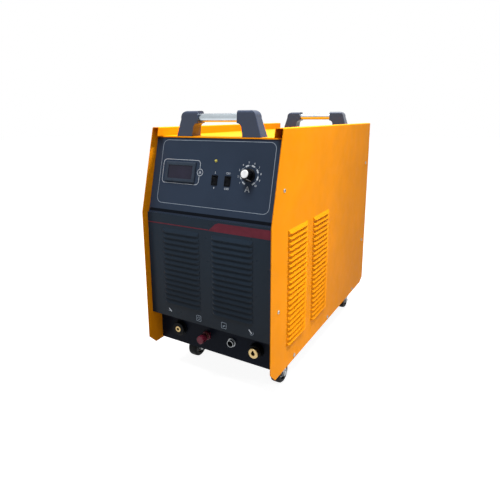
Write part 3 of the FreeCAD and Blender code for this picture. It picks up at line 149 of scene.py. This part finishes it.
def linear(hexadecimal):
    """Linear colour from an sRGB hex string."""
    values = [int(hexadecimal[i:i + 2], 16) / 255 for i in (0, 2, 4)]
    return tuple(v / 12.92 if v <= 0.04045 else ((v + 0.055) / 1.055) ** 2.4 for v in values)


def scaled(colour, factor):
    return tuple(min(1.0, part * factor) for part in colour)


def paint(name, colour, rough=0.4, peel=0.25, edge=0.0006, spread=0.05, specular=0.2, foot=None):
    """Powder coat: faint orange peel, slight unevenness of tone and gloss.

    With foot, painted shade darkens the coat downwards, standing in for light falling off lower down: foot
    gives the height where the painted shade is darkest, the height where that begins, and the share of the
    colour left at the darkest.
    """
    n = Nodes(name)
    n.set(Specular_IOR_Level=specular)
    tone = n.noise(9.0, 4.0)
    coat = n.ramp(tone, 0.35, 0.65, scaled(colour, 1 - spread), scaled(colour, 1 + spread))
    # painted shade: the colour is scaled down towards the foot, in place of light falling off there
    if foot:
        darkest, begins, share = foot
        height = n.add("ShaderNodeSeparateXYZ")
        n.link(n.position, height.inputs["Vector"])
        shade = n.add("ShaderNodeVectorMath", operation="SCALE")
        n.link(coat, shade.inputs[0])
        n.link(n.spread(height.outputs["Z"], darkest, begins, share, 1.0), shade.inputs["Scale"])
        coat = shade.outputs["Vector"]
    n.link(coat, n.shader.inputs["Base Color"])
    n.link(n.spread(n.noise(45.0, 3.0), 0.3, 0.7, rough - 0.05, rough + 0.06), n.shader.inputs["Roughness"])
    n.bump(n.noise(700.0, 2.0), peel, 0.0002, edge)
    return n.material


def plastic(name, colour, rough=0.45, grain=0.3, edge=0.0004, specular=0.3, spread=0.11):
    """Moulded plastic: fine grain and slight gloss changes."""
    n = Nodes(name)
    n.set(Specular_IOR_Level=specular)
    tone = n.noise(60.0, 4.0)
    n.link(n.ramp(tone, 0.35, 0.65, scaled(colour, 1 - spread), scaled(colour, 1 + spread)),
           n.shader.inputs["Base Color"])
    n.link(n.spread(n.noise(120.0, 3.0), 0.3, 0.7, rough - spread / 2, rough + spread / 2),
           n.shader.inputs["Roughness"])
    n.bump(n.noise(2600.0, 2.0), grain, 0.00008, edge)
    return n.material


def metal(name, colour, rough=0.25, stretch=(1, 1, 1), scale=900.0, lines=0.2, edge=0.0003):
    """Bare or plated metal: drawing or turning marks run where stretch is small."""
    n = Nodes(name)
    n.set(Metallic=1.0)
    tone = n.noise(30.0, 4.0)
    n.link(n.ramp(tone, 0.3, 0.7, scaled(colour, 0.88), scaled(colour, 1.06)), n.shader.inputs["Base Color"])
    marks = n.noise(scale, 2.0, stretch)
    n.link(n.spread(marks, 0.3, 0.7, rough - 0.06, rough + 0.08), n.shader.inputs["Roughness"])
    n.bump(marks, lines, 0.00006, edge)
    return n.material


def smoked():
    """Smoked meter window: dark, very smooth, with a faint violet depth."""
    n = Nodes("smoked_window")
    tone = n.ramp(n.noise(25.0, 3.0), 0.35, 0.65, linear("17162A"), linear("201D32"))
    n.link(tone, n.shader.inputs["Base Color"])
    n.set(Roughness=0.12, Specular_IOR_Level=0.25)
    n.bump(n.noise(60.0, 1.0), 0.03, 0.0001)
    return n.material


def amber():
    """Amber lamp lens, mottled as if by its inner facets."""
    n = Nodes("amber_lens")
    tone = n.ramp(n.noise(300.0, 2.0), 0.3, 0.7, linear("A29A35"), linear("CDBE55"))
    n.link(tone, n.shader.inputs["Base Color"])
    n.set(Roughness=0.18)
    n.bump(n.noise(900.0, 1.0), 0.05, 0.0001)
    return n.material


# A caster wheel's colours from the axle outwards: (share of the wheel's radius where it begins, colour).
WHEEL_RINGS = ((0.0, "C4C9CC"), (0.36, "101215"), (0.42, "F4F6F7"), (0.53, "101215"), (0.72, "0B0D10"))


def caster_wheel(node):
    """Black tyre and web with a pale raised ring and a pale hub, told apart by the distance from the axle."""
    n = Nodes(node + "_material")
    away = n.add("ShaderNodeVectorMath", operation="SUBTRACT")
    away.inputs[1].default_value = centre(node)
    n.link(n.position, away.inputs[0])
    flat = n.add("ShaderNodeVectorMath", operation="MULTIPLY")
    flat.inputs[1].default_value = (0, 1, 1)
    n.link(away.outputs["Vector"], flat.inputs[0])
    radius = n.add("ShaderNodeVectorMath", operation="LENGTH")
    n.link(flat.outputs["Vector"], radius.inputs[0])
    share = n.spread(radius.outputs["Value"], 0.0, (high(node).z - low(node).z) / 2, 0.0, 1.0)
    ramp = n.add("ShaderNodeValToRGB")
    ramp.color_ramp.interpolation = "CONSTANT"
    while len(ramp.color_ramp.elements) < len(WHEEL_RINGS):
        ramp.color_ramp.elements.new(1.0)
    for element, (place, colour) in zip(ramp.color_ramp.elements, WHEEL_RINGS):
        element.position = place
        element.color = (*linear(colour), 1)
    n.link(share, ramp.inputs["Fac"])
    worn = n.add("ShaderNodeMix", data_type="RGBA", blend_type="MULTIPLY")
    worn.inputs["Factor"].default_value = 1.0
    grit = n.noise(80.0, 6.0)
    n.link(ramp.outputs["Color"], worn.inputs["A"])
    n.link(n.ramp(grit, 0.35, 0.7, (0.8, 0.8, 0.8), (1.1, 1.1, 1.1)), worn.inputs["B"])
    n.link(worn.outputs["Result"], n.shader.inputs["Base Color"])
    n.link(n.spread(grit, 0.3, 0.7, 0.45, 0.65), n.shader.inputs["Roughness"])
    n.set(Specular_IOR_Level=0.12)
    n.bump(n.noise(900.0, 3.0), 0.25, 0.0002, 0.0004)
    return n.material


ORANGE = paint("orange_powder_coat", linear("F2930B"), rough=0.5, peel=0.18, specular=0.03)
PANEL = paint("upper_panel_paint", linear("2A3546"), rough=0.4, peel=0.12, spread=0.08, specular=0.12)
DARK = paint("dark_powder_coat", linear("1F2A36"), rough=0.32, peel=0.15, spread=0.08, specular=0.14)
# The lower panel's paint carries painted shade: it darkens from 0.36 m down to 0.15 m height.
LOWER_SHADED_PAINT = paint("lower_panel_paint_and_shade", linear("212D3A"), rough=0.32, peel=0.15, spread=0.08, specular=0.1,
                    foot=(0.15, 0.36, 0.45))
# Painted shade: a darker copy of the front paint for the connector panel, which sits recessed in shade behind
# the lower panel.
CONNECTOR_SHADE = paint("connector_panel_painted_shade", linear("121722"), rough=0.36, peel=0.15, spread=0.08, specular=0.04)
HANDLE = plastic("handle_nylon", linear("1E2C45"), rough=0.22, grain=0.02, specular=0.6, spread=0.03)
BLACK = plastic("black_moulding", linear("0B0D11"), rough=0.36, grain=0.1, specular=0.06)
METER = plastic("meter_case", linear("2E3845"), rough=0.5, grain=0.5, specular=0.15)
WHITE_CAP = plastic("white_cap", linear("F2F3F4"), rough=0.3, grain=0.05)
RED = plastic("red_moulding", linear("641F30"), rough=0.3, grain=0.1, specular=0.2)
# Painted shadow: near-black for the strip along the fold between the two front panels, where the joint lies
# in shade.
JOINT_SHADE = plastic("painted_joint_shadow", linear("0D1118"), rough=0.7, edge=0, specular=0.05)
# Painted shade: dark brown-grey that stands in for the shade inside the screws' cross recesses.
RECESS_SHADE = plastic("screw_recess_shade", linear("2A2622"), rough=0.6, grain=0.1, edge=0, specular=0.1)
BRASS = metal("turned_brass", linear("B9A172"), rough=0.34, stretch=(1, 0.1, 1))
CHROME = metal("bright_plate", linear("8E9194"), rough=0.25, scale=500.0, lines=0.08)
TUBE = metal("drawn_aluminium", linear("B9C2C8"), rough=0.2, stretch=(0.04, 1, 1), scale=1400.0, lines=0.25)
ZINC = metal("zinc_plate", linear("8F9294"), rough=0.34, scale=300.0)
SCREW = metal("plated_screw", linear("A8A49B"), rough=0.3, scale=500.0)
SINK = metal("extruded_aluminium", linear("B4B8BC"), rough=0.4, stretch=(1, 0.05, 1))
FERRITE = plastic("ferrite", linear("2C2D30"), rough=0.6, grain=0.6)
BOARD = plastic("solder_mask", linear("1D5A34"), rough=0.3, grain=0.1)
TAPE = plastic("coil_tape", linear("C98F2B"), rough=0.4, grain=0.1)
PRINT = plastic("pale_print", linear("C3CAD3"), rough=0.5, grain=0.1, edge=0)
PRINT_DIM = plastic("dim_print", linear("8E9AA8"), rough=0.5, grain=0.1, edge=0)
PRINT_RED = plastic("red_print", linear("672735"), rough=0.42, grain=0.1, edge=0, specular=0.12)
WINDOW = smoked()
LENS = amber()

DRESS = {
    ORANGE: "left_side_cover right_side_cover top_plate",
    PANEL: "upper_front_panel",
    LOWER_SHADED_PAINT: "lower_front_panel",
    DARK: "rear_panel base_plate",
    CONNECTOR_SHADE: "connector_panel",
    HANDLE: "front_handle_left_leg front_handle_right_leg rear_handle_left_leg rear_handle_right_leg",
    TUBE: "front_handle_tube rear_handle_tube",
    SCREW: "cover_screws hex_bolts",
    ZINC: "caster_plates front_left_caster_fork front_right_caster_fork rear_left_caster_fork "
          "rear_right_caster_fork potentiometer potentiometer_shaft fan_guard",
    METER: "meter_bezel",
    WINDOW: "meter_window",
    LENS: "indicator_led",
    BLACK: "switch_housings left_switch_rocker right_switch_rocker current_knob torch_connector_body "
           "work_socket_flange fan_frame fan_rotor breaker_body breaker_toggle cable_gland "
           "control_socket_insert power_modules filter_capacitors",
    WHITE_CAP: "current_knob_cap",
    RED: "pilot_terminal_base pilot_terminal_cap",
    BRASS: "torch_connector_insert pilot_terminal_stud pilot_terminal_washer work_socket_insert "
           "air_inlet_nipple air_solenoid_valve",
    CHROME: "control_socket_shell",
    SINK: "heat_sink",
    BOARD: "power_board control_board",
    FERRITE: "transformer_core",
    TAPE: "transformer_coil",
}
for corner in ("front_left", "front_right", "rear_left", "rear_right"):
    wheel = corner + "_caster_wheel"
    DRESS[caster_wheel(wheel)] = wheel
for material, names in DRESS.items():
    for name in names.split():
        mesh = nodes[name].data
        mesh.materials.clear()
        mesh.materials.append(material)


# ---- mesh helpers ----
def piece(name, mesh_maker, material, body="cabinet", place=Matrix()):
    """New mesh object from a bmesh-filling function, placed in the row frame."""
    mesh = bpy.data.meshes.new(name)
    bm = bmesh.new()
    mesh_maker(bm)
    bmesh.ops.recalc_face_normals(bm, faces=bm.faces)
    bm.to_mesh(mesh)
    bm.free()
    mesh.transform(place)
    mesh.materials.append(material)
    obj = bpy.data.objects.new(name, mesh)
    bpy.context.scene.collection.objects.link(obj)
    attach(obj, body)


def slab(bm, outline, thickness, base=0.0):
    """Flat plate with the given (x, y) outline, from base to base + thickness in z."""
    bottom = [bm.verts.new((x, y, base)) for x, y in outline]
    top = [bm.verts.new((x, y, base + thickness)) for x, y in outline]
    bm.faces.new(top)
    bm.faces.new(list(reversed(bottom)))
    for i in range(len(outline)):
        j = (i + 1) % len(outline)
        bm.faces.new((bottom[i], bottom[j], top[j], top[i]))


def band(bm, points, width, thickness, closed=False):
    """Flat strip of the given width along (x, y) points."""
    count = len(points)
    sides = []
    for i, point in enumerate(points):
        before = Vector(points[i - 1] if closed or i else points[i])
        after = Vector(points[(i + 1) % count] if closed or i < count - 1 else points[i])
        along = (after - before).normalized()
        side = Vector((-along.y, along.x)) * width / 2
        here = Vector(point)
        sides.append([bm.verts.new((*(here + side * way), depth))
                      for depth in (0, thickness) for way in (1, -1)])
    for i in range(count if closed else count - 1):
        a, b = sides[i], sides[(i + 1) % count]
        bm.faces.new((a[2], a[3], b[3], b[2]))
        bm.faces.new((a[0], a[2], b[2], b[0]))
        bm.faces.new((a[3], a[1], b[1], b[3]))


def arc(middle, radius, start, end, steps):
    """Points on an arc; angles in degrees clockwise from the top."""
    points = []
    for i in range(steps + 1):
        angle = math.radians(start + (end - start) * i / steps)
        points.append((middle[0] + radius * math.sin(angle), middle[1] + radius * math.cos(angle)))
    return points


def rounded(x0, y0, x1, y1, radius, steps=8):
    """Rectangle with round corners."""
    points = []
    for cx, cy, start in ((x1 - radius, y1 - radius, 0), (x1 - radius, y0 + radius, 90),
                          (x0 + radius, y0 + radius, 180), (x0 + radius, y1 - radius, 270)):
        points += arc((cx, cy), radius, start, start + 90, steps)
    return points


def metres(points):
    return [(x * MM, y * MM) for x, y in points]


# ---- print: sizes and places in millimetres on the panel's plane ----
INK = 0.00012                # thickness, in metres
FONT_PER_CAPITAL = 1.38      # font size for a capital of height 1


def printed_line(name, points, width, place, material=PRINT, closed=True, lift=0.0):
    def make(bm):
        band(bm, metres(points), width * MM, INK, closed)
    piece(name, make, material, place=place @ Matrix.Translation((0, 0, lift)))


def printed_area(name, outline, place, material):
    def make(bm):
        slab(bm, metres(outline), INK)
    piece(name, make, material, place=place)


def printed_text(name, text, middle, height, place):
    curve = bpy.data.curves.new(name, "FONT")
    curve.body = text
    curve.size = height * MM * FONT_PER_CAPITAL
    curve.align_x = "CENTER"
    curve.align_y = "CENTER"
    curve.extrude = INK / 2
    curve.resolution_u = 4
    curve.materials.append(PRINT)
    obj = bpy.data.objects.new(name, curve)
    bpy.context.scene.collection.objects.link(obj)
    obj.matrix_world = place @ Matrix.Translation((middle[0] * MM, middle[1] * MM, INK / 2))
    bpy.context.view_layer.update()
    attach(obj, "cabinet")


METER_MARK = (-31.0, 93.0)
METER_RING = 7.0
RING_GROUND = 7.4
printed_line("panel_border", rounded(-139, 21, 140, 160.5, 13), 1.0, UPPER, PRINT_DIM)
printed_line("meter_border", rounded(-131.5, 66, -32.5, 118, 8), 0.9, UPPER)
printed_area("meter_mark_ground", arc(METER_MARK, RING_GROUND, 0, 351, 39), UPPER, PANEL)
printed_line("meter_mark_ring", arc(METER_MARK, METER_RING, 0, 352, 44), 0.9, UPPER, lift=INK)
printed_text("meter_mark", "A", METER_MARK, 7.0, UPPER @ Matrix.Translation((0, 0, INK)))

# The dial; its angles are in degrees clockwise from the top.
KNOB = (88.0, 94.0)
DASH_RADIUS = 19.6
DASHES = 8
FIRST_DASH = -146
DASH_STEP = 41.7
HALF_DASH = 11
DIAL_END = 150
NUMBER_RADIUS = 25.6
NUMBERS = 10
FIRST_NUMBER = -129
NUMBER_STEP = 30.0
for step in range(DASHES):
    angle = FIRST_DASH + DASH_STEP * step
    dash = arc(KNOB, DASH_RADIUS, angle - HALF_DASH, angle + HALF_DASH, 6)
    printed_line("dial_dash_%d" % step, dash, 3.0, UPPER, closed=False)
printed_line("dial_arc", arc(KNOB, DASH_RADIUS, -DIAL_END, DIAL_END, 60), 0.5, UPPER, PRINT_DIM, closed=False)
for step in range(NUMBERS):
    angle = math.radians(FIRST_NUMBER + NUMBER_STEP * step)
    spot = (KNOB[0] + NUMBER_RADIUS * math.sin(angle), KNOB[1] + NUMBER_RADIUS * math.cos(angle))
    printed_text("dial_number_%d" % step, str(step + 1), spot, 4.0, UPPER)
printed_text("dial_unit", "A", (KNOB[0] - 1.2, 65.8), 12.5, UPPER)

MODE_SWITCH, POWER_SWITCH = 7.5, 39.0
LABEL_ABOVE, LABEL_BELOW = 95.0, 63.0
LABEL_HEIGHT = 4.6
for name, text, x, y in (
        ("switch_on", "ON", POWER_SWITCH, LABEL_ABOVE), ("switch_off", "OFF", POWER_SWITCH, LABEL_BELOW),
        ("mode_two", "2", MODE_SWITCH, LABEL_ABOVE), ("mode_four", "4", MODE_SWITCH, LABEL_BELOW)):
    printed_text(name, text, (x, y), LABEL_HEIGHT, UPPER)

# Painted shadow along the fold at the upper panel's foot, 0.8 to 7.2 mm up its slope.
printed_area("panel_joint_painted_shadow", [(-156, 0.8), (156, 0.8), (156, 7.2), (-156, 7.2)], UPPER, JOINT_SHADE)


# ---- pointer on the knob, and painted shade for the recesses in the cover screws ----
POINTER_ANGLE = 152                           # degrees clockwise from the top
POINTER_HALF_WIDTH = 0.55
POINTER_ENDS = ((13.5, 3.2), (10.8, 19.4))    # (radius, height over the panel) at its foot and at its top
POINTER_SUNK = -0.0006
POINTER_PROUD = 0.00015


def pointer(bm):
    """Pale rib down the knob's tapered side."""
    turn = math.radians(POINTER_ANGLE)
    out = Vector((math.sin(turn), math.cos(turn), 0))
    side = Vector((out.y, -out.x, 0)) * POINTER_HALF_WIDTH * MM
    section = ((-1, POINTER_SUNK), (1, POINTER_SUNK), (1, POINTER_PROUD), (-1, POINTER_PROUD))
    rows = []
    for radius, height in POINTER_ENDS:
        foot = Vector((*KNOB, height)) * MM + out * radius * MM
        rows.append([bm.verts.new(foot + side * way + out * lift) for way, lift in section])
    for i in range(4):
        j = (i + 1) % 4
        bm.faces.new((rows[0][i], rows[0][j], rows[1][j], rows[1][i]))
    bm.faces.new(rows[0])
    bm.faces.new(list(reversed(rows[1])))


def loose_boxes(mesh):
    """Low and high corners of each separate shell of a mesh."""
    parent = list(range(len(mesh.vertices)))

    def root(i):
        while parent[i] != i:
            parent[i] = parent[parent[i]]
            i = parent[i]
        return i

    for edge in mesh.edges:
        a, b = (root(i) for i in edge.vertices)
        parent[a] = b
    groups = {}
    for vertex in mesh.vertices:
        groups.setdefault(root(vertex.index), []).append(vertex.co)
    return [(Vector(map(min, zip(*group))), Vector(map(max, zip(*group)))) for group in groups.values()]


def screw_recess_shade_crosses(bm):
    """A dark cross of painted shade on the flat of each pan head on the two side covers, standing in for the
    shade in its cross recess.
    """
    reach, width, proud = 1.9 * MM, 0.45 * MM, 0.05 * MM
    for low_end, high_end in loose_boxes(nodes["cover_screws"].data):
        middle = (low_end + high_end) / 2
        way = 1 if middle.x > 0 else -1
        face = high_end.x if way > 0 else low_end.x
        across = Vector((0, way, 0))
        place = plane_frame(Vector((face, middle.y, middle.z)), across, UP)
        for half_x, half_y in ((reach, width), (width, reach)):
            start = len(bm.verts)
            corners = [(-half_x, -half_y), (half_x, -half_y), (half_x, half_y), (-half_x, half_y)]
            slab(bm, corners, 2 * proud, -proud)
            bm.verts.ensure_lookup_table()
            bmesh.ops.transform(bm, matrix=place, verts=bm.verts[start:])


piece("knob_pointer", pointer, PRINT, "current_knob", UPPER)
piece("cover_screw_recess_shade", screw_recess_shade_crosses, RECESS_SHADE)


# ---- print on the lower panel: the red rule and band, and a mark over each connector ----
BAR = 2.6
FINE = 0.9
printed_line("red_rule", [(-157, 299.9), (5.4, 299.9)], 2.3, LOWER, PRINT_RED, closed=False)
printed_area("red_band", [(6, 298.4), (157, 298.0), (157, 317.2), (32, 317.2), (23, 313.8)], LOWER, PRINT_RED)
x, y = -104.5, 96.5
printed_line("torch_mark_bar", [(x - 3, y + 4.5), (x + 4, y - 2.5)], BAR, LOWER, closed=False)
printed_line("torch_mark_grip", [(x - 5.5, y - 1), (x - 3, y - 2.2), (x - 0.5, y - 1)], 1.0, LOWER, PRINT_DIM,
             closed=False)
x, y = -24.3, 95.5
printed_line("pilot_mark_frame", rounded(x - 6, y - 6.5, x + 6, y + 6.5, 2), 0.8, LOWER, PRINT_DIM)
printed_line("pilot_mark_ring", arc((x, y), 3.0, 0, 345, 23), 0.8, LOWER, PRINT_DIM)
x, y = 41.0, 94.7
printed_line("control_mark_frame", rounded(x - 6, y - 6.5, x + 6, y + 6.5, 1), FINE, LOWER, PRINT_DIM)
printed_line("control_mark_bar", [(x - 2.5, y - 2.5), (x + 3, y + 0.5)], 2.2, LOWER, PRINT_DIM, closed=False)
x, y = 107.0, 96.0
printed_line("work_mark_bar", [(x - 4.5, y + 5), (x + 2, y - 2.5)], BAR, LOWER, closed=False)
work_ring = arc((x + 1.0, y - 0.5), 4.8, 60, 215, 20)
printed_line("work_mark_ring", work_ring, FINE, LOWER, PRINT_DIM, closed=False)


# ---- stage, camera and light ----
CAMERA_PLACE = (0.5053, -1.0265, 0.6045)
CAMERA_YAW, CAMERA_PITCH, CAMERA_ROLL = 0.5363, 0.2159, -0.0072
SENSOR_WIDTH = 36.0
LENS_LENGTH = 31.133
SHIFT_X, SHIFT_Y = 0.0192, -0.0763
FLOOR_REACH = 12.0
FLOOR_DROP = 0.0005
FLOOR_GLOW = 0.92
WORLD_LIGHT = 0.13
LAMPS = (
    # name, place, aimed at, side, power, spread in degrees
    ("key", (0.75, -0.15, 0.4), (0.16, -0.9, 0.1), 0.25, 1.4, 180.0),
    ("side_top", (0.75, 0.4, 2.0), (0.16, -0.6, 0.1), 0.35, 11, 80.0),
    ("top", (-0.1, 0.35, 2.3), (0, 0, 0.3), 1.4, 45, 180.0),
    ("front", (0.0, -0.98, 2.3), (0, -0.3, 0.3), 0.7, 42, 180.0),
)


def set_camera(scene):
    data = bpy.data.cameras.new("camera")
    camera = bpy.data.objects.new("camera", data)
    scene.collection.objects.link(camera)
    scene.camera = camera
    turn = Matrix.Rotation(CAMERA_YAW, 4, "Z") @ Matrix.Rotation(math.pi / 2 - CAMERA_PITCH, 4, "X")
    camera.matrix_world = Matrix.Translation(CAMERA_PLACE) @ turn @ Matrix.Rotation(CAMERA_ROLL, 4, "Z")
    data.sensor_width = SENSOR_WIDTH
    data.lens = LENS_LENGTH
    data.shift_x = SHIFT_X
    data.shift_y = SHIFT_Y
    data.clip_start = 0.01


def lay_floor(scene):
    """Matt pale floor that looks white to the camera and still takes the shadow."""
    mesh = bpy.data.meshes.new("floor")
    signs = ((-1, -1), (1, -1), (1, 1), (-1, 1))
    corners = [(x * FLOOR_REACH, y * FLOOR_REACH, -FLOOR_DROP) for x, y in signs]
    mesh.from_pydata(corners, [], [(0, 1, 2, 3)])
    floor = bpy.data.objects.new("floor", mesh)
    scene.collection.objects.link(floor)
    n = Nodes("pale_floor")
    n.set(Roughness=0.9)
    tone = n.ramp(n.noise(3.0, 2.0), 0.3, 0.7, (0.30, 0.30, 0.30), (0.32, 0.32, 0.32))
    n.link(tone, n.shader.inputs["Base Color"])
    glow = n.add("ShaderNodeEmission")
    glow.inputs["Strength"].default_value = FLOOR_GLOW
    add = n.add("ShaderNodeAddShader")
    mix = n.add("ShaderNodeMixShader")
    n.link(n.shader.outputs["BSDF"], add.inputs[0])
    n.link(glow.outputs["Emission"], add.inputs[1])
    n.link(white_rays(n.tree), mix.inputs["Fac"])
    n.link(n.shader.outputs["BSDF"], mix.inputs[1])
    n.link(add.outputs["Shader"], mix.inputs[2])
    n.link(mix.outputs["Shader"], n.tree.nodes["Material Output"].inputs["Surface"])
    mesh.materials.append(n.material)


def set_world(scene):
    """White to the camera and in reflections, and a weak fill light to everything else."""
    world = bpy.data.worlds.new("studio")
    scene.world = world
    world.use_nodes = True
    tree = world.node_tree
    background = tree.nodes["Background"]
    strength = tree.nodes.new("ShaderNodeMapRange")
    strength.inputs["To Min"].default_value = WORLD_LIGHT
    strength.inputs["To Max"].default_value = 1.0
    tree.links.new(white_rays(tree), strength.inputs["Value"])
    tree.links.new(strength.outputs["Result"], background.inputs["Strength"])
    background.inputs["Color"].default_value = (1, 1, 1, 1)


def set_lamps(scene):
    for name, place, target, size, power, spread in LAMPS:
        data = bpy.data.lights.new(name, "AREA")
        data.shape = "SQUARE"
        data.size = size
        data.energy = power
        data.spread = math.radians(spread)
        lamp = bpy.data.objects.new(name, data)
        scene.collection.objects.link(lamp)
        lamp.location = place
        aim = Vector(target) - Vector(place)
        lamp.rotation_euler = aim.to_track_quat("-Z", "Y").to_euler()


scene = bpy.context.scene
scene.view_settings.view_transform = "Standard"
set_camera(scene)
lay_floor(scene)
set_world(scene)
set_lamps(scene)
bpy.context.view_layer.update()
